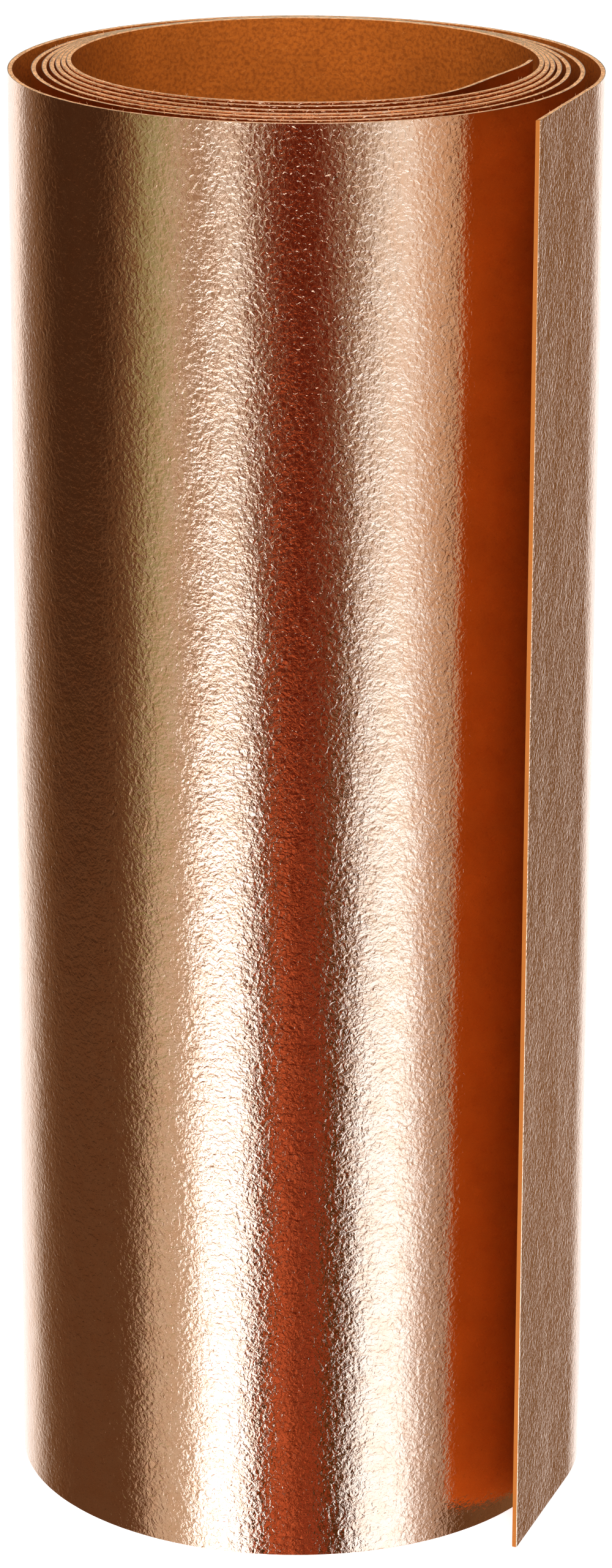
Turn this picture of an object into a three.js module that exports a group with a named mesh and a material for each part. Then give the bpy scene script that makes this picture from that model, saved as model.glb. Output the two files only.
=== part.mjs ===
// A self-wound roll of copper-faced kraft band, standing on its end.
// The band is one laminate: bright foil outside, a bond film, brown kraft paper inside.
// It is wound about seven turns with no core, tight near the bore and slack outside.
// The outer free end stands off the roll in a straight flap and opens out in hinged leaves.
// The inner free end lies across the front right of the bore and swings in on one hinge.
// Frame: +Z up along the roll, origin under its axis on the surface it stands on,
// -Y at the front. Millimetres; winding angles are degrees, clockwise seen from above from +X.

import * as THREE from 'three';

// The band.
const BAND_WIDTH = 150;
const FOIL_THICK = 0.04;
const BOND_THICK = 0.03;
const KRAFT_THICK = 0.42;

// The winding, given as the radius of the foil face.
const TURN = 360;
const START_ANGLE = 2;
const END_ANGLE = 7 * TURN + 51;
const FACET_ANGLE = 7.5;
const BORE_RADIUS = 23.58;
const TIGHT_PITCH = 0.54;
const SLACK_GROWTH = 1.3;
const SLACK_TURNS = 6;

// The turns are slightly longer from front to back than across, most of all half way out.
const OVAL_GROWTH = 1.55;
const OVAL_FULL_TURN = 3.5;
const OVAL_LOSS = 1.4;
const OVAL_LOSS_TURNS = [5, 6.75];

// The outermost turn has sprung clear of the others on the left.
const SPRING_OUT = 1.1;
const SPRING_OUT_TURNS = [6.05, 6.5];
const SPRING_BACK = 1.35;
const SPRING_BACK_TURNS = [6.5, 7];

// The inner turns sit a little to the left inside the outermost one.
const LEFT_SHIFT = 0.5;
const LEFT_LOSS = 0.35;
const LEFT_LOSS_TURNS = [5.75, 6.4];

// The flap runs straight on from the last turn.
const FLAP_ANGLE = 7 * TURN + 19;

// The inner end cuts across the bore between its tip and the front of the first turn.
const INNER_DIP = 2.1;
const INNER_DIP_START = -7.5;
const INNER_DIP_END = 65;
const INNER_TIP_GAP = 0.3;

// The inner turns stand a little proud of the outermost one, which rests on the table.
const TELESCOPE = 1;
const TELESCOPE_TURNS = 6;

// Where the band is hinged.
const LEAF_COUNT = 6;
const LEAF_ANGLE = 25;
const HINGE_GAP = 0.3;
const FREE_END_ROOT = END_ANGLE - LEAF_COUNT * LEAF_ANGLE;
const INNER_HINGE = 71;

const foilCopper = new THREE.MeshStandardMaterial({ color: 0xd9a083, roughness: 0.28, metalness: 1 });
const bondClear = new THREE.MeshStandardMaterial({ color: 0xb9aa8c, roughness: 0.5, metalness: 0 });
const kraftBrown = new THREE.MeshStandardMaterial({ color: 0x9a5426, roughness: 0.9, metalness: 0 });

// The laminate's layers, each between two depths below the foil face.
const LAYERS = [
  { name: 'copper_foil', top: 0, base: FOIL_THICK, material: foilCopper },
  { name: 'bond_film', top: FOIL_THICK, base: FOIL_THICK + BOND_THICK, material: bondClear },
  {
    name: 'kraft_backing',
    top: FOIL_THICK + BOND_THICK,
    base: FOIL_THICK + BOND_THICK + KRAFT_THICK,
    material: kraftBrown,
  },
];

function ramp(turns, [from, to]) {
  return THREE.MathUtils.smoothstep(turns, from, to);
}

// Radius of the wound foil face, without the two ends' straight runs.
function woundRadius(angle) {
  const turns = angle / TURN;
  const tight = BORE_RADIUS + TIGHT_PITCH * turns;
  const slack = SLACK_GROWTH * Math.pow(Math.max(turns, 0) / SLACK_TURNS, 5);
  const oval = OVAL_GROWTH * ramp(turns, [0, OVAL_FULL_TURN]) - OVAL_LOSS * ramp(turns, OVAL_LOSS_TURNS);
  const across = Math.pow(Math.sin(THREE.MathUtils.degToRad(angle)), 2);
  const sprung = SPRING_OUT * ramp(turns, SPRING_OUT_TURNS) - SPRING_BACK * ramp(turns, SPRING_BACK_TURNS);
  const left = -Math.cos(THREE.MathUtils.degToRad(angle));
  const shift = LEFT_SHIFT - LEFT_LOSS * ramp(turns, LEFT_LOSS_TURNS);
  return tight + slack + oval * across + sprung + shift * left;
}

// Radius of the foil face anywhere along the band.
function foilRadius(angle) {
  if (angle > FLAP_ANGLE) {
    return woundRadius(FLAP_ANGLE) / Math.cos(THREE.MathUtils.degToRad(angle - FLAP_ANGLE));
  }
  if (angle < INNER_DIP_END) {
    const along = (angle - INNER_DIP_START) / (INNER_DIP_END - INNER_DIP_START);
    const tip = INNER_TIP_GAP * (1 - along);
    return woundRadius(angle) - tip - INNER_DIP * Math.sin(Math.PI * along) ** 2;
  }
  return woundRadius(angle);
}

// A point of the foil face in plan.
function foilPoint(angle) {
  const turned = THREE.MathUtils.degToRad(-angle);
  return new THREE.Vector2(Math.cos(turned), Math.sin(turned)).multiplyScalar(foilRadius(angle));
}

// The way along the band in plan, and how many millimetres it covers for each degree.
function foilRun(angle) {
  const reach = 0.05;
  return foilPoint(angle + reach).sub(foilPoint(angle - reach)).divideScalar(2 * reach);
}

// A point at a depth below the foil face, towards the inside of the roll.
function laminatePoint(angle, depth) {
  const run = foilRun(angle).normalize();
  const inward = new THREE.Vector2(run.y, -run.x);
  return foilPoint(angle).addScaledVector(inward, depth);
}

function standingHeight(angle) {
  return TELESCOPE * (1 - THREE.MathUtils.clamp(angle / TURN / TELESCOPE_TURNS, 0, 1));
}

// Winding angles of the facet edges between two ends, on one grid for every turn and layer.
function facetAngles(from, to) {
  const angles = [from];
  const first = Math.floor(from / FACET_ANGLE) + 1;
  for (let index = first; index * FACET_ANGLE < to; index += 1) {
    const angle = index * FACET_ANGLE;
    if (angle - from > 1 && to - angle > 1) angles.push(angle);
  }
  angles.push(to);
  return angles;
}

// One layer of the band between two winding angles, as a closed solid.
function layerGeometry(layer, from, to) {
  const positions = [];
  const faces = [];
  const quad = (a, b, c, d) => faces.push(a, b, c, a, c, d);

  const angles = facetAngles(from, to);
  for (const angle of angles) {
    const low = standingHeight(angle);
    const high = low + BAND_WIDTH;
    const face = laminatePoint(angle, layer.top);
    const back = laminatePoint(angle, layer.base);
    positions.push(face.x, face.y, low, face.x, face.y, high);
    positions.push(back.x, back.y, low, back.x, back.y, high);
  }

  const corners = (station) => [0, 1, 2, 3].map((corner) => station * 4 + corner);
  for (let station = 0; station < angles.length - 1; station += 1) {
    const [faceLow, faceHigh, backLow, backHigh] = corners(station);
    const [nextFaceLow, nextFaceHigh, nextBackLow, nextBackHigh] = corners(station + 1);
    quad(nextFaceLow, faceLow, faceHigh, nextFaceHigh);
    quad(backLow, nextBackLow, nextBackHigh, backHigh);
    quad(nextFaceHigh, faceHigh, backHigh, nextBackHigh);
    quad(faceLow, nextFaceLow, nextBackLow, backLow);
  }
  const [startFaceLow, startFaceHigh, startBackLow, startBackHigh] = corners(0);
  const [endFaceLow, endFaceHigh, endBackLow, endBackHigh] = corners(angles.length - 1);
  quad(startFaceLow, startBackLow, startBackHigh, startFaceHigh);
  quad(endFaceLow, endFaceHigh, endBackHigh, endBackLow);

  const geometry = new THREE.BufferGeometry();
  geometry.setAttribute('position', new THREE.Float32BufferAttribute(positions, 3));
  geometry.setIndex(faces);
  geometry.computeVertexNormals();
  return geometry;
}

// The laminate between two winding angles: one mesh for each layer.
function laminate(place, from, to) {
  const group = new THREE.Group();
  for (const layer of LAYERS) {
    const mesh = new THREE.Mesh(layerGeometry(layer, from, to), layer.material);
    mesh.name = `${layer.name}_${place}`;
    group.add(mesh);
  }
  return group;
}

// Half of a hinge's gap, as a winding angle.
function halfGap(angle) {
  return HINGE_GAP / 2 / foilRun(angle).length();
}

const roll = new THREE.Group();

roll.add(laminate('coil', INNER_HINGE + halfGap(INNER_HINGE), FREE_END_ROOT - halfGap(FREE_END_ROOT)));

roll.add(laminate('inner_end', START_ANGLE, INNER_HINGE - halfGap(INNER_HINGE)));

for (let leaf = 0; leaf < LEAF_COUNT; leaf += 1) {
  const from = FREE_END_ROOT + leaf * LEAF_ANGLE;
  const to = from + LEAF_ANGLE;
  const last = leaf === LEAF_COUNT - 1;
  roll.add(laminate(`free_end_${leaf + 1}`, from + halfGap(from), last ? to : to - halfGap(to)));
}

export default roll;
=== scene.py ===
import bpy
import bmesh
import math
import random
import numpy as np
from mathutils import Matrix, Vector, noise


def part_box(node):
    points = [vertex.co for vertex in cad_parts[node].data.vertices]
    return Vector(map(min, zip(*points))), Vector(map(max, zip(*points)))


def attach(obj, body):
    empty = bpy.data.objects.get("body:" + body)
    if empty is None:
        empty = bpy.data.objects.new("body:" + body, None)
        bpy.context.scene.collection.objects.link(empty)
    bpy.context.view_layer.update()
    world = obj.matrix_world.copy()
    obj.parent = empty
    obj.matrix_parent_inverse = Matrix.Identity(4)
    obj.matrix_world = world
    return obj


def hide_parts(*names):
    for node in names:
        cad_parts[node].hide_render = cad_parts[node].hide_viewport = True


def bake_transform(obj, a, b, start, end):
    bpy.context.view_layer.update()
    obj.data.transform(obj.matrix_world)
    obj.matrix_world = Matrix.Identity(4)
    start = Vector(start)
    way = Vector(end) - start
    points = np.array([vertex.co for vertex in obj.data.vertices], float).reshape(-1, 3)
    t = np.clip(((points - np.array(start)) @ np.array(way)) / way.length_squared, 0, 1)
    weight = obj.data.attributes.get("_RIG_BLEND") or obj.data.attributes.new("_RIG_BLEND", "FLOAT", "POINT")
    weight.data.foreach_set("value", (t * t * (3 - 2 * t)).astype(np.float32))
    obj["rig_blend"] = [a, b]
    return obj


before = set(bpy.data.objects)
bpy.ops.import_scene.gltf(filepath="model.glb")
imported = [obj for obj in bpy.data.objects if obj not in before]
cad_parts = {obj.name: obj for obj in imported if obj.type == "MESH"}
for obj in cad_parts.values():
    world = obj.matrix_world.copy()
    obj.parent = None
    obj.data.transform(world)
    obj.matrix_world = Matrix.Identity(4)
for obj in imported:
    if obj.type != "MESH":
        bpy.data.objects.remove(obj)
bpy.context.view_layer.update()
scene = bpy.context.scene


# ---- Camera ------------------------------------------------------------------------------
# A long lens at table height plus a hand's breadth, looking a little down on the standing roll.
# The frame is tall and narrow, so the sensor's long side is the upright one.

camera_back = 0.5499
camera_height = 0.2510
camera_pitch = math.radians(17.8)
camera_roll = math.radians(0.227)
sensor_long_side = 36
lens_length = 126.84375

camera = bpy.data.objects.new("camera", bpy.data.cameras.new("camera"))
scene.collection.objects.link(camera)
camera.data.sensor_width = sensor_long_side
camera.data.lens = lens_length
camera.data.clip_start = 0.01
camera.data.clip_end = 100
aim = Matrix.Rotation(math.pi / 2 - camera_pitch, 4, "X") @ Matrix.Rotation(camera_roll, 4, "Z")
camera.matrix_world = Matrix.Translation((0, -camera_back, camera_height)) @ aim
scene.camera = camera
scene.view_settings.view_transform = "Standard"


# ---- Studio ------------------------------------------------------------------------------
# A white sweep under a soft white dome. Under the horizon, where only the foil's mirror looks,
# the dome is a ring of soft boxes, dark flags and one russet card that draw the foil's bands.


class Value:
    """A socket in a node tree. Arithmetic on it adds Math nodes, and node() adds any other node."""

    def __init__(self, tree, socket=None):
        self.tree = tree
        self.socket = socket

    def node(self, kind, settings=None, sockets=None, output=0):
        made = self.tree.nodes.new(kind)
        for name, setting in (settings or {}).items():
            if name == "stops":
                for index, (place, colour) in enumerate(setting):
                    ramp = made.color_ramp.elements
                    stop = ramp[index] if index < 2 else ramp.new(place)
                    stop.position, stop.color = place, (*colour, 1)
            else:
                setattr(made, name, setting)
        for name, given in (sockets or {}).items():
            if isinstance(given, Value):
                self.tree.links.new(given.socket, made.inputs[name])
            else:
                made.inputs[name].default_value = given
        return Value(self.tree, made.outputs[output] if len(made.outputs) else None)

    def maths(self, operation, *values):
        return self.node("ShaderNodeMath", {"operation": operation}, dict(enumerate(values)))

    def __add__(self, other):
        return self.maths("ADD", self, other)

    def __sub__(self, other):
        return self.maths("SUBTRACT", self, other)

    def __rsub__(self, other):
        return self.maths("SUBTRACT", other, self)

    def __mul__(self, other):
        return self.maths("MULTIPLY", self, other)

    __radd__ = __add__
    __rmul__ = __mul__

    def ease(self, low, high, start=0.0, end=1.0):
        sockets = {"Value": self, "From Min": low, "From Max": high, "To Min": start, "To Max": end}
        return self.node("ShaderNodeMapRange", {"interpolation_type": "SMOOTHSTEP"}, sockets)

    def mix(self, first, second, blend="MIX"):
        settings = {"data_type": "RGBA", "blend_type": blend}
        return self.node("ShaderNodeMix", settings, {0: self, 6: first, 7: second}, output=2)

    def grey(self):
        return self.node("ShaderNodeCombineColor", None, {"Red": self, "Green": self, "Blue": self})

    def scaled(self, factor):
        return self.node("ShaderNodeVectorMath", {"operation": "SCALE"}, {"Vector": self, "Scale": factor})

    def noise(self, size, detail=2.0, roughness=0.5, distortion=0.0, stretch=(1, 1, 1)):
        spot = self.node("ShaderNodeMapping", None, {"Vector": self, "Scale": stretch})
        sockets = {"Vector": spot, "Scale": 1 / size, "Detail": detail, "Roughness": roughness}
        return spot.node("ShaderNodeTexNoise", None, {**sockets, "Distortion": distortion})


def new_material(name):
    material = bpy.data.materials.new(name)
    material.use_nodes = True
    material.node_tree.nodes.clear()
    return material, Value(material.node_tree)


def finish_material(shader, value):
    value.node("ShaderNodeOutputMaterial", None, {"Surface": shader})


dome_white = (1.15, 1.15, 1.15)
soft_box = (2.05, 2.32, 2.66)
warm_box = (1.48, 1.80, 2.16)
pale_box = (0.88, 0.89, 0.87)
dim_box = (0.80, 0.84, 0.83)

tan_panel = (0.61, 0.54, 0.44)
dim_tan = (0.54, 0.44, 0.35)
brown_tan = (0.38, 0.285, 0.20)
olive_panel = (0.33, 0.35, 0.18)
orange_panel = (0.60, 0.42, 0.28)
grey_panel = (0.46, 0.37, 0.31)
far_grey = (0.35, 0.27, 0.20)
left_white = (0.58, 0.54, 0.50)
left_grey = (0.36, 0.30, 0.26)
side_card = (0.195, 0.102, 0.038)
low_side_card = (0.225, 0.126, 0.056)

brown_shade = (0.21, 0.125, 0.066)
brown_flag = (0.120, 0.060, 0.029)
dark_brown = (0.060, 0.029, 0.014)
black_flag = (0.075, 0.032, 0.010)

red_card = (0.55, 0.132, 0.055)
deep_red = (0.30, 0.060, 0.026)
shaded_red = (0.18, 0.055, 0.030)
red_heart = (0.13, 0.030, 0.012)
dark_red = (0.10, 0.014, 0.006)

# What the foil mirrors: degrees round from the camera's side (right is positive), the colour
# down by the table, and the colour up by the horizon.
mirror_ring = [
    (-149, dome_white, dome_white),
    (-141, left_white, left_grey),
    (-130, brown_shade, brown_shade),
    (-116, brown_flag, dark_brown),
    (-82, brown_flag, dark_brown),
    (-69, brown_flag, brown_shade),
    (-64, dim_tan, olive_panel),
    (-57, tan_panel, olive_panel),
    (-50, tan_panel, tan_panel),
    (-44, tan_panel, brown_tan),
    (-42, soft_box, brown_tan),
    (-37, soft_box, brown_tan),
    (-27, soft_box, dim_box),
    (-20, soft_box, far_grey),
    (-19, black_flag, far_grey),
    (-12, black_flag, shaded_red),
    (-11, red_card, shaded_red),
    (-2, red_card, dark_red),
    (-1, red_heart, dark_red),
    (3, red_heart, dark_red),
    (4, deep_red, dark_red),
    (12, deep_red, shaded_red),
    (13, black_flag, shaded_red),
    (23, black_flag, far_grey),
    (25, warm_box, far_grey),
    (34, warm_box, dim_box),
    (46, warm_box, pale_box),
    (58, grey_panel, orange_panel),
    (67, grey_panel, orange_panel),
    (71, brown_flag, dark_brown),
    (147, low_side_card, side_card),
    (156, dome_white, dome_white),
]

# Heights in the dome run from -1, straight down, to 1, straight up. Levels are brightnesses.
ring_seam_low = -0.33
ring_seam_high = -0.277
horizon_low = -0.01
horizon_high = 0.08
side_level = 0.13
back_level = 0.11
front_level = 2.7
cloth_grain = 0.07

world = bpy.data.worlds.new("studio")
scene.world = world
world.use_nodes = True
world.node_tree.nodes.clear()
sky = Value(world.node_tree)
look = sky.node("ShaderNodeTexCoord", output=0)
east, north, up = (look.node("ShaderNodeSeparateXYZ", None, {"Vector": look}, index) for index in range(3))
around = east.maths("ARCTAN2", east, 0 - north) * (1 / math.tau) + 0.5
table_stops = [(degrees / 360 + 0.5, colour) for degrees, colour, _ in mirror_ring]
horizon_stops = [(degrees / 360 + 0.5, colour) for degrees, _, colour in mirror_ring]
by_table = around.node("ShaderNodeValToRGB", {"stops": table_stops}, {"Fac": around})
by_horizon = around.node("ShaderNodeValToRGB", {"stops": horizon_stops}, {"Fac": around})
cloth = look.noise(cloth_grain, 3, 0.6).ease(0.3, 0.7, 0.78, 1.22)
ring = up.ease(ring_seam_low, ring_seam_high).mix(by_table, by_horizon).scaled(cloth)
flagged = east.maths("ABSOLUTE", east).ease(0.3, 0.8, 1.0, side_level)
front = (north * -1).ease(0.1, 0.75, back_level, front_level)
sky_light = (front * flagged).grey()
whole = up.ease(horizon_low, horizon_high).mix(ring, sky_light)
background = whole.node("ShaderNodeBackground", None, {"Color": whole, "Strength": 1.0})
background.node("ShaderNodeOutputWorld", None, {"Surface": background})

floor_reach = 40.0
floor_glow = 0.54
paper_grain = 0.35

floor_sheet = bmesh.new()
bmesh.ops.create_grid(floor_sheet, x_segments=8, y_segments=8, size=floor_reach)
floor_mesh = bpy.data.meshes.new("floor")
floor_sheet.to_mesh(floor_mesh)
floor_sheet.free()
floor = bpy.data.objects.new("floor", floor_mesh)
scene.collection.objects.link(floor)
floor_paper, paper_value = new_material("floor_paper")
spot = paper_value.node("ShaderNodeTexCoord", output=3)
pale = spot.noise(paper_grain, 3).ease(0.3, 0.7, 0.90, 0.93).grey()
paper_shader = pale.node(
    "ShaderNodeBsdfPrincipled", None,
    {
        "Base Color": pale,
        "Roughness": 0.9,
        "Emission Color": (1, 1, 1, 1),
        "Emission Strength": floor_glow,
    },
)
finish_material(paper_shader, paper_shader)
floor_mesh.materials.append(floor_paper)
floor.visible_glossy = False

key_size = 0.7
key_watts = 9.5

key = bpy.data.objects.new("key_light", bpy.data.lights.new("key_light", "AREA"))
scene.collection.objects.link(key)
key.data.size = key_size
key.data.energy = key_watts
key.location = (-0.05, -0.2, 1.5)
key.rotation_euler = (Vector((0, 0, 0.1)) - key.location).to_track_quat("-Z", "Y").to_euler()


# ---- The band's winding ------------------------------------------------------------------
# The band is cut flat, 150 mm wide, and wound on itself a little over seven times with no core.
# It is tight near the bore and slack outside, and its last 17 mm run straight on as a flap.
# Radii here are in millimetres and winding angles in degrees, clockwise from above.

millimetre = 0.001
turn = 360
start_angle = 2
flap_angle = 7 * turn + 19
end_angle = 7 * turn + 51
bore_radius = 23.58
tight_pitch = 0.54
slack_growth = 1.3
slack_turns = 6
oval_growth = 1.55
oval_full_turn = 3.5
oval_loss = 1.4
oval_loss_turns = (5, 6.75)
spring_out = 1.1
spring_out_turns = (6.05, 6.5)
spring_back = 1.35
spring_back_turns = (6.5, 7)
left_shift = 0.5
left_loss = 0.35
left_loss_turns = (5.75, 6.4)
inner_dip = 2.1
inner_dip_start = -7.5
inner_dip_end = 65
inner_tip_gap = 0.3
telescope_turns = 6

flap_low, flap_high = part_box("kraft_backing_free_end_6")
tail_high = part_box("kraft_backing_inner_end")[1]
band_width = flap_high[2] - flap_low[2]
telescope = tail_high[2] - flap_high[2]


def smooth(turns, low, high):
    part = np.clip((turns - low) / (high - low), 0, 1)
    return part * part * (3 - 2 * part)


def wound_radius(angle):
    turns = angle / turn
    tight = bore_radius + tight_pitch * turns
    slack = slack_growth * (np.maximum(turns, 0) / slack_turns) ** 5
    oval = oval_growth * smooth(turns, 0, oval_full_turn) - oval_loss * smooth(turns, *oval_loss_turns)
    spring = spring_out * smooth(turns, *spring_out_turns) - spring_back * smooth(turns, *spring_back_turns)
    shift = left_shift - left_loss * smooth(turns, *left_loss_turns)
    return tight + slack + oval * np.sin(np.radians(angle)) ** 2 + spring - shift * np.cos(np.radians(angle))


def foil_radius(angle):
    flap = wound_radius(flap_angle) / np.cos(np.radians(np.clip(angle - flap_angle, 0, 60)))
    along = (angle - inner_dip_start) / (inner_dip_end - inner_dip_start)
    tail = wound_radius(angle) - inner_tip_gap * (1 - along) - inner_dip * np.sin(np.pi * along) ** 2
    return np.where(angle > flap_angle, flap, np.where(angle < inner_dip_end, tail, wound_radius(angle)))


def foil_point(angle):
    reach = foil_radius(angle) * millimetre
    return np.stack([np.cos(np.radians(angle)) * reach, -np.sin(np.radians(angle)) * reach], -1)


ruler_marks = 40001
fine_angles = np.linspace(start_angle, end_angle, ruler_marks)
fine_steps = np.linalg.norm(np.diff(foil_point(fine_angles), axis=0), axis=1)
fine_lengths = np.concatenate([[0], np.cumsum(fine_steps)])
band_length = float(fine_lengths[-1])


def length_at(angle):
    return float(np.interp(angle, fine_angles, fine_lengths))


def wind(flat):
    """Rolls up points of the flat band: along it, in from the foil face, and up from its lower edge."""
    past_end = np.maximum(flat[:, 0] - band_length, 0)
    before_start = np.minimum(flat[:, 0], 0)
    angle = np.interp(flat[:, 0], fine_lengths, fine_angles)
    run = foil_point(angle + 0.05) - foil_point(angle - 0.05)
    run /= np.linalg.norm(run, axis=1)[:, None]
    inward = np.stack([run[:, 1], -run[:, 0]], -1)
    plan = foil_point(angle) + inward * flat[:, 1:2] + run * (past_end + before_start)[:, None]
    lift = telescope * (1 - np.clip(angle / turn / telescope_turns, 0, 1))
    return np.column_stack([plan, flat[:, 2] + lift])


def flat_slab(span, depths, steps, rows, rounding):
    """A flat length of one layer: a box with its long edges rounded, cut into steps and rows."""
    slab = bmesh.new()
    size = (span[1] - span[0], depths[1] - depths[0], band_width)
    middle = ((span[0] + span[1]) / 2, (depths[0] + depths[1]) / 2, band_width / 2)
    bmesh.ops.create_cube(slab, size=1)
    bmesh.ops.scale(slab, vec=size, verts=slab.verts)
    bmesh.ops.translate(slab, vec=middle, verts=slab.verts)
    upright = [edge for edge in slab.edges if abs(edge.verts[0].co.z - edge.verts[1].co.z) > size[1]]
    bmesh.ops.subdivide_edges(slab, edges=upright, cuts=rows - 1, use_grid_fill=True)
    rims = [
        edge for edge in slab.edges
        if abs(edge.verts[0].co.x - edge.verts[1].co.x) > size[1]
        and abs(abs(edge.verts[0].co.z - middle[2]) - middle[2]) < rounding
    ]
    bmesh.ops.bevel(slab, geom=rims, offset=rounding, segments=2, profile=0.5, affect="EDGES", material=-1)
    lengthwise = [edge for edge in slab.edges if abs(edge.verts[0].co.x - edge.verts[1].co.x) > size[0] / 2]
    bmesh.ops.subdivide_edges(slab, edges=lengthwise, cuts=steps - 1, use_grid_fill=True)
    cut_edge = slab.verts.layers.float.new("cut_edge")
    for vert in slab.verts:
        vert[cut_edge] = float(min(vert.co.z, band_width - vert.co.z) < rounding / 2)
    return slab


def rough_rims(slab, depth_of_roughness, grain):
    """Lets the two cut edges wander in and out, as a slitting knife leaves them."""
    for vert in slab.verts:
        outward = 1 if vert.co.z > band_width / 2 else -1
        if abs(vert.co.z - band_width / 2) > band_width / 2 - 2 * grain:
            wander = noise.noise(Vector((vert.co.x / grain, outward * 7.0, 0)))
            vert.co.z -= outward * depth_of_roughness * (0.5 + 0.5 * wander)


map_reach = 1.25
end_reach = 0.06 * millimetre
sharpest_smooth_edge = math.radians(15)
step_angle = 1.5625


def finish_piece(name, slab, material, nodes):
    """Rolls the slab up, gives it its map along the band, and makes it a piece."""
    bmesh.ops.recalc_face_normals(slab, faces=slab.faces)
    mesh = bpy.data.meshes.new(name)
    slab.to_mesh(mesh)
    slab.free()
    flat = np.empty(len(mesh.vertices) * 3)
    mesh.vertices.foreach_get("co", flat)
    flat = flat.reshape(-1, 3)
    corner_verts = np.empty(len(mesh.loops), int)
    mesh.loops.foreach_get("vertex_index", corner_verts)
    along = flat[:, 0] / map_reach
    across = (flat[:, 2] + flat[:, 1]) / map_reach
    band_map = mesh.uv_layers.new(name="band")
    band_map.data.foreach_set("uv", np.column_stack([along, across])[corner_verts].ravel())
    end = np.clip(1 - (band_length - flat[:, 0]) / end_reach, 0, 1)
    mesh.attributes.new("end_cut", "FLOAT", "POINT").data.foreach_set("value", end.astype(np.float32))
    mesh.vertices.foreach_set("co", wind(flat).ravel())
    mesh.polygons.foreach_set("use_smooth", np.ones(len(mesh.polygons), bool))
    mesh.set_sharp_from_angle(angle=sharpest_smooth_edge)
    mesh.materials.append(material)
    mesh.update()
    piece = bpy.data.objects.new(name, mesh)
    scene.collection.objects.link(piece)
    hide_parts(*nodes)
    return piece


# ---- Where the band bends ----------------------------------------------------------------
# The outer end opens out in six leaves, and the inner end swings on one. Each stretch below
# runs from the middle of one leaf to the middle of the next, so it bends smoothly over a hinge.

leaf_count = 6
leaf_angle = 25
free_end_root = end_angle - leaf_count * leaf_angle
inner_hinge = 71
inner_bend = 9
outer_turn_start = 6 * turn - 10


def fold_point(angle):
    x, y = foil_point(np.array(angle, float))
    return (float(x), float(y), band_width / 2)


def ride_coil(piece):
    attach(piece, "roll")


def ride_inner_end(piece):
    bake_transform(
        piece, "inner_end", "roll",
        fold_point(inner_hinge - inner_bend), fold_point(inner_hinge + inner_bend),
    )


def ride_leaf(number):
    hinge = free_end_root + (number - 1) * leaf_angle
    inner_body = "roll" if number == 1 else f"free_end_{number - 1}"
    start, end = fold_point(hinge - leaf_angle / 2), fold_point(hinge + leaf_angle / 2)
    return lambda piece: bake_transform(piece, inner_body, f"free_end_{number}", start, end)


coil_span = (inner_hinge + inner_bend, free_end_root - leaf_angle / 2)
stretches = [("coil", coil_span, ride_coil), ("inner_end", (start_angle, coil_span[0]), ride_inner_end)]
for leaf in range(1, leaf_count + 1):
    leaf_start = coil_span[1] + (leaf - 1) * leaf_angle
    leaf_end = end_angle if leaf == leaf_count else leaf_start + leaf_angle
    stretches.append((f"free_end_{leaf}", (leaf_start, leaf_end), ride_leaf(leaf)))


# ---- Copper foil -------------------------------------------------------------------------
# Thin bright rose-copper foil, rolled on to the paper while its grain was soft, so it carries
# a fine crinkle of dents under a millimetre across. It covers the outside of every turn.

foil_depths = (0, 0.04 * millimetre)
foil_rounding = 0.008 * millimetre
foil_tint = (0.93, 0.625, 0.455)
foil_deep_tint = (0.90, 0.56, 0.38)
in_millimetres = map_reach / millimetre
dent_size = 0.52
crease_size = 0.9
swell_size = 3.2
wave_size = 13
crinkle_height = 0.059 * millimetre
worn_patch_size = 2.2

foil_material, foil = new_material("copper_foil")
place = foil.node("ShaderNodeTexCoord", output=2).scaled(in_millimetres)
dents = place.noise(dent_size, 3, 0.57, 0.6)
crease = place.noise(crease_size, 2, 0.5, 0.4) - 0.5
creases = crease.maths("ABSOLUTE", crease)
swells = place.noise(swell_size, 2, 0.5)
waves = place.noise(wave_size, 1, 0.5, stretch=(1, 0.4, 1))
relief = dents * 0.7 + creases * 0.8 + swells * 0.7 + waves * 2.6
bump = relief.node("ShaderNodeBump", None, {"Height": relief, "Strength": 1.0, "Distance": crinkle_height})
worn = place.noise(worn_patch_size, 4, 0.6)
tint = worn.ease(0.35, 0.7).mix((*foil_tint, 1), (*foil_deep_tint, 1))
foil_shader = tint.node(
    "ShaderNodeBsdfPrincipled", None,
    {
        "Base Color": tint,
        "Metallic": 1.0,
        "Roughness": worn.ease(0.3, 0.75, 0.03, 0.06),
        "Normal": bump,
    },
)
finish_material(foil_shader, foil_shader)

foil_relief = 0.010 * millimetre
relief_grain = 1.4 * millimetre
foil_rim_wander = 0.03 * millimetre
foil_rim_grain = 0.6 * millimetre


def foil_piece(name, span, nodes, step, rows):
    lengths = (length_at(span[0]), length_at(span[1]))
    steps = round((span[1] - span[0]) / step)
    slab = flat_slab(lengths, foil_depths, steps, rows, foil_rounding)
    for vert in slab.verts:
        if vert.co.y < foil_depths[1] / 4:
            dent = noise.noise(Vector((vert.co.x, 0, vert.co.z)) / relief_grain)
            vert.co.y += foil_relief * dent
    rough_rims(slab, foil_rim_wander, foil_rim_grain)
    return finish_piece(name, slab, foil_material, nodes)


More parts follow.
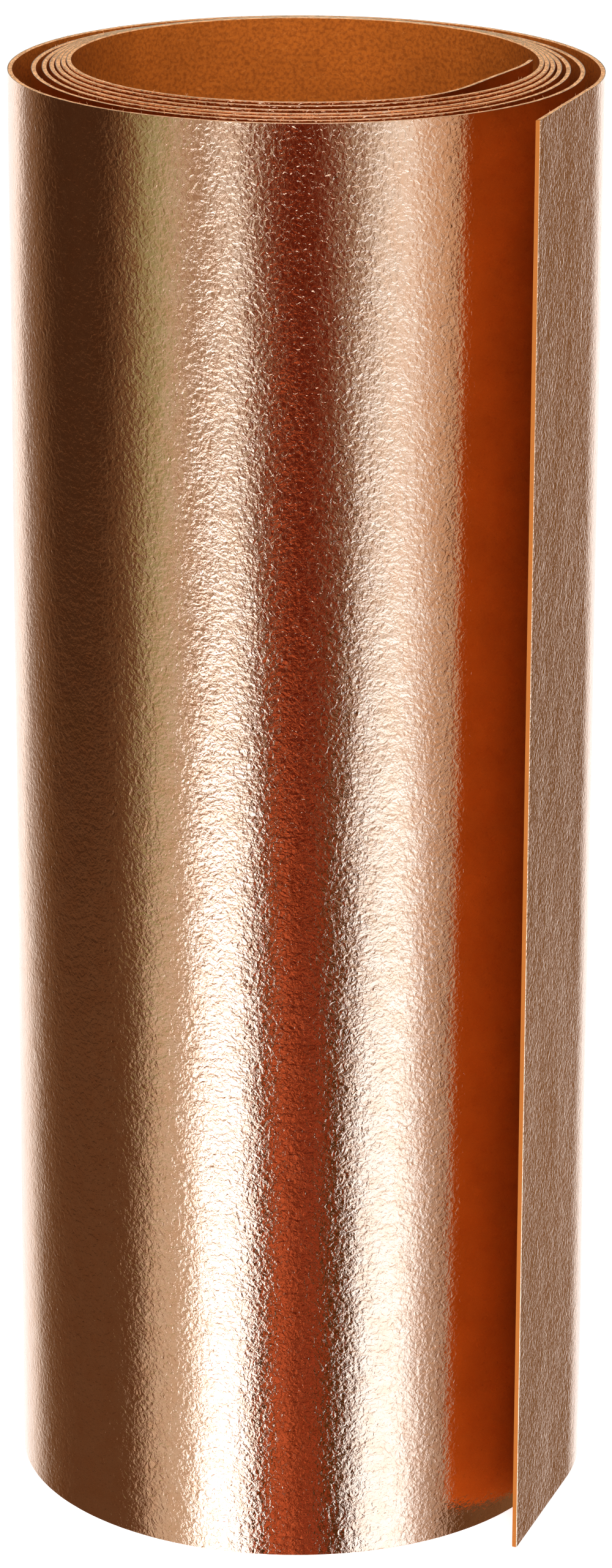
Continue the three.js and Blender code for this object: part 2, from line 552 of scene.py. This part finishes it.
# Only the outer turn and the two ends are ever seen close, so the inner turns are cut coarsely.
inner_turns_step = 3
inner_turns_rows = 12
tail_rows = 60
foil_rows = 110
for place_name, span, ride in stretches:
    nodes = [f"copper_foil_{place_name}"]
    if place_name == "coil":
        hidden, shown = (span[0], outer_turn_start), (outer_turn_start, span[1])
        ride(foil_piece("copper_foil_inner_turns", hidden, nodes, inner_turns_step, inner_turns_rows))
        ride(foil_piece("copper_foil_outer_turn", shown, nodes, step_angle, foil_rows))
    elif place_name == "inner_end":
        ride(foil_piece("copper_foil_tail", span, nodes, step_angle, tail_rows))
    else:
        ride(foil_piece(f"copper_foil_{place_name}_skin", span, nodes, step_angle, foil_rows))


# ---- Bond film ---------------------------------------------------------------------------
# A thin clear coat between foil and paper, which shows only as a hairline in the cut edge.

bond_depths = (0.04 * millimetre, 0.07 * millimetre)
bond_rounding = 0.006 * millimetre
bond_rows = 3
streak_size = 0.004

bond_material, bond = new_material("bond_film")
flat_place = bond.node("ShaderNodeTexCoord", output=2)
streaks = flat_place.noise(streak_size, 3, 0.6, stretch=(1, 6, 1))
amber = streaks.ease(0.3, 0.7).mix((0.50, 0.38, 0.22, 1), (0.66, 0.55, 0.38, 1))
bond_shader = amber.node(
    "ShaderNodeBsdfPrincipled", None, {"Base Color": amber, "Roughness": streaks.ease(0.3, 0.7, 0.35, 0.55)}
)
finish_material(bond_shader, bond_shader)

for place_name, span, ride in stretches:
    lengths = (length_at(span[0]), length_at(span[1]))
    steps = round((span[1] - span[0]) / step_angle)
    slab = flat_slab(lengths, bond_depths, steps, bond_rows, bond_rounding)
    rough_rims(slab, foil_rim_wander, foil_rim_grain)
    name = f"bond_film_{place_name}_coat"
    ride(finish_piece(name, slab, bond_material, [f"bond_film_{place_name}"]))


# ---- Kraft backing -----------------------------------------------------------------------
# Heavy brown kraft, the band's body: mottled long-fibred paper on the inside of every turn, with
# paler slit edges where torn fibres stand out, their paleness partly a painted highlight from above.

kraft_depths = (0.07 * millimetre, 0.49 * millimetre)
kraft_rounding = 0.05 * millimetre
kraft_rows = 14
kraft_rim_wander = 0.06 * millimetre
kraft_rim_grain = 0.45 * millimetre
kraft_brown = (0.53, 0.130, 0.012)
kraft_dark = (0.33, 0.074, 0.006)
kraft_pale = (0.66, 0.205, 0.034)
# Slit edges: the cut paper's own paler tone, brightened further by a painted highlight of the light above
# the upturned rims.
kraft_cut_and_highlight = (0.86, 0.45, 0.215)
kraft_end_cut = (0.43, 0.135, 0.024)
mottle_size = 0.4
cloud_size = 6.0
fibre_size = 0.35
paper_tooth = 0.03 * millimetre

kraft_material, kraft = new_material("kraft_backing")
place = kraft.node("ShaderNodeTexCoord", output=2).scaled(in_millimetres)
mottle = place.noise(mottle_size, 3, 0.6, 0.3)
clouds = place.noise(cloud_size, 3, 0.5)
fibres = place.noise(fibre_size, 4, 0.65, 1.2, stretch=(0.45, 1, 1))
brown = mottle.ease(0.32, 0.62).mix((*kraft_dark, 1), (*kraft_brown, 1))
brown = (fibres.ease(0.56, 0.76) * 0.7).mix(brown, (*kraft_pale, 1))
brown = brown.scaled(clouds.ease(0.3, 0.7, 0.92, 1.06))
cut_edge = kraft.node("ShaderNodeAttribute", {"attribute_name": "cut_edge"}, output=2)
flecks = fibres.ease(0.38, 0.62, 0.55, 1.12)
# Painted highlight: the slit edges and fibres take this pale colour, partly the cut paper's own tone and
# partly top light painted in.
cut_and_highlight_colour = flecks.node(
    "ShaderNodeVectorMath", {"operation": "SCALE"}, {"Vector": kraft_cut_and_highlight, "Scale": flecks}
)
end_cut = kraft.node("ShaderNodeAttribute", {"attribute_name": "end_cut"}, output=2)
cut_and_highlight_colour = end_cut.ease(0.2, 0.8).mix(cut_and_highlight_colour, (*kraft_end_cut, 1))
kraft_colour = cut_edge.maths("MAXIMUM", cut_edge, end_cut).mix(brown, cut_and_highlight_colour)
kraft_height = mottle * 0.5 + fibres * 0.5
kraft_bump = kraft_height.node(
    "ShaderNodeBump", None, {"Height": kraft_height, "Strength": 0.7, "Distance": paper_tooth}
)
kraft_shader = kraft_colour.node(
    "ShaderNodeBsdfPrincipled", None,
    {
        "Base Color": kraft_colour,
        "Roughness": mottle.ease(0.3, 0.7, 0.78, 0.92),
        "Specular IOR Level": 0.15,
        "Normal": kraft_bump,
    },
)
finish_material(kraft_shader, kraft_shader)

fibre_random = random.Random(11)


def add_fibres(slab, span, count, at_end):
    """Sets loose torn fibres in the slit edges, and in the end's cut where the band stops."""
    for index in range(count):
        long = fibre_random.uniform(0.12, 0.42) * millimetre
        thick = fibre_random.uniform(0.015, 0.03) * millimetre
        depth = fibre_random.uniform(kraft_depths[0] + thick, kraft_depths[1] - thick)
        lean = Matrix.Rotation(fibre_random.uniform(-1.1, 1.1), 4, "Y")
        lean = lean @ Matrix.Rotation(fibre_random.uniform(-0.5, 0.5), 4, "X")
        if at_end:
            spot = (span[1] - thick, depth, fibre_random.uniform(0.01, 0.99) * band_width)
            facing = Matrix.Rotation(math.pi / 2, 4, "Y")
        else:
            spot = (fibre_random.uniform(*span), depth, band_width - thick)
            facing = Matrix.Identity(4)
        placed = Matrix.Translation(spot) @ facing @ lean @ Matrix.Translation((0, 0, long * 0.4))
        fibre = bmesh.ops.create_cone(
            slab, cap_ends=True, segments=3, radius1=thick, radius2=thick * 0.3, depth=long, matrix=placed
        )
        for vert in fibre["verts"]:
            vert[slab.verts.layers.float["cut_edge"]] = 1.0


fibre_spacing = 2.5 * millimetre
end_fibre_count = 60
for place_name, span, ride in stretches:
    lengths = (length_at(span[0]), length_at(span[1]))
    steps = round((span[1] - span[0]) / step_angle)
    slab = flat_slab(lengths, kraft_depths, steps, kraft_rows, kraft_rounding)
    rough_rims(slab, kraft_rim_wander, kraft_rim_grain)
    add_fibres(slab, lengths, round((lengths[1] - lengths[0]) / fibre_spacing), False)
    if place_name == f"free_end_{leaf_count}":
        add_fibres(slab, lengths, end_fibre_count, True)
    name = f"kraft_backing_{place_name}_sheet"
    ride(finish_piece(name, slab, kraft_material, [f"kraft_backing_{place_name}"]))
